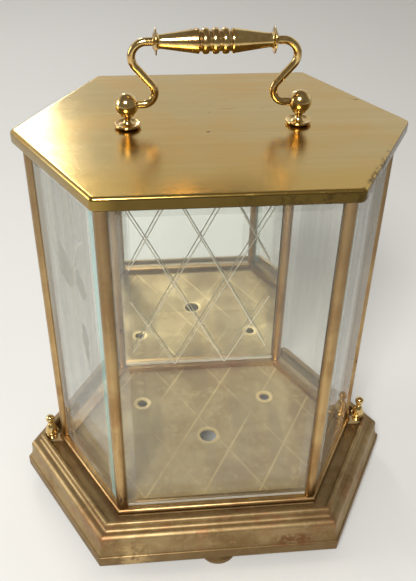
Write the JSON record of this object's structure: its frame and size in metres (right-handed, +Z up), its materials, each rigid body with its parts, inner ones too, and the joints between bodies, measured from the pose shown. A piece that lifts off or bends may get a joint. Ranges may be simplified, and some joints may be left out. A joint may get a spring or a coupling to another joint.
{
  "type": "mantel clock case",
  "caption": "Elongated hexagonal brass and glass mantel clock case with corner posts, bevelled panes, mirror back, moulded base on screw feet and a folding turned carrying handle.",
  "frame": {"origin": "on the table plane, below the middle of the hexagonal case", "axes": "+Z up, +X to the right and -Y to the front, seen facing the front pane"},
  "size_m": [0.2128, 0.1488, 0.2651],
  "materials": {
    "satin_brass": "brushed satin, aged",
    "post_brass": "semi-polished, tarnished to a warm brown",
    "base_brass": "semi-polished, browned with age",
    "floor_brass": "dull, unpolished",
    "polished_brass": "polished and lacquered",
    "clear_glass": "clear, bevelled",
    "mirror": "silvered, wheel-cut lattice",
    "steel": "plain fastener steel"
  },
  "bodies": {
    "case": {"top_plate": "satin_brass", "glazing_frame": "post_brass", "floor_plate": "floor_brass", "base_moulding": "base_brass", "front_glass": "clear_glass", "left_front_glass": "clear_glass", "right_front_glass": "clear_glass", "left_back_glass": "clear_glass", "right_back_glass": "clear_glass", "back_mirror": "mirror", "post_left": "post_brass", "post_right": "post_brass", "post_front_left": "post_brass", "post_front_right": "post_brass", "post_back_left": "post_brass", "post_back_right": "post_brass", "handle_pedestal_left": "polished_brass", "handle_pedestal_right": "polished_brass", "handle_washer_left": "steel", "handle_washer_right": "steel", "handle_nut_left": "steel", "handle_nut_right": "steel", "finial_left": "polished_brass", "finial_right": "polished_brass", "post_screw_front_left": "steel", "post_screw_front_right": "steel", "post_screw_left": "steel", "post_screw_right": "steel", "post_screw_back_left": "steel", "post_screw_back_right": "steel"},
    "handle": {"handle_arm_left": "polished_brass", "handle_arm_right": "polished_brass", "handle_grip": "polished_brass"},
    "foot_front_screw": {"foot_front": "base_brass"},
    "foot_back_left_screw": {"foot_back_left": "base_brass"},
    "foot_back_right_screw": {"foot_back_right": "base_brass"}
  },
  "joints": [
    {"name": "handle_swing", "type": "hinge", "parent": "case", "child": "handle", "pos_m": [0, 0, 0.2323], "axis": [1, 0, 0], "range_deg": [-98, 98]},
    {"name": "foot_front_height", "type": "slide", "parent": "case", "child": "foot_front_screw", "axis": [0, 0, 1], "range_m": [-0.0025, 0.0015]},
    {"name": "foot_back_left_height", "type": "slide", "parent": "case", "child": "foot_back_left_screw", "axis": [0, 0, 1], "range_m": [-0.0025, 0.0015]},
    {"name": "foot_back_right_height", "type": "slide", "parent": "case", "child": "foot_back_right_screw", "axis": [0, 0, 1], "range_m": [-0.0025, 0.0015]}
  ]
}
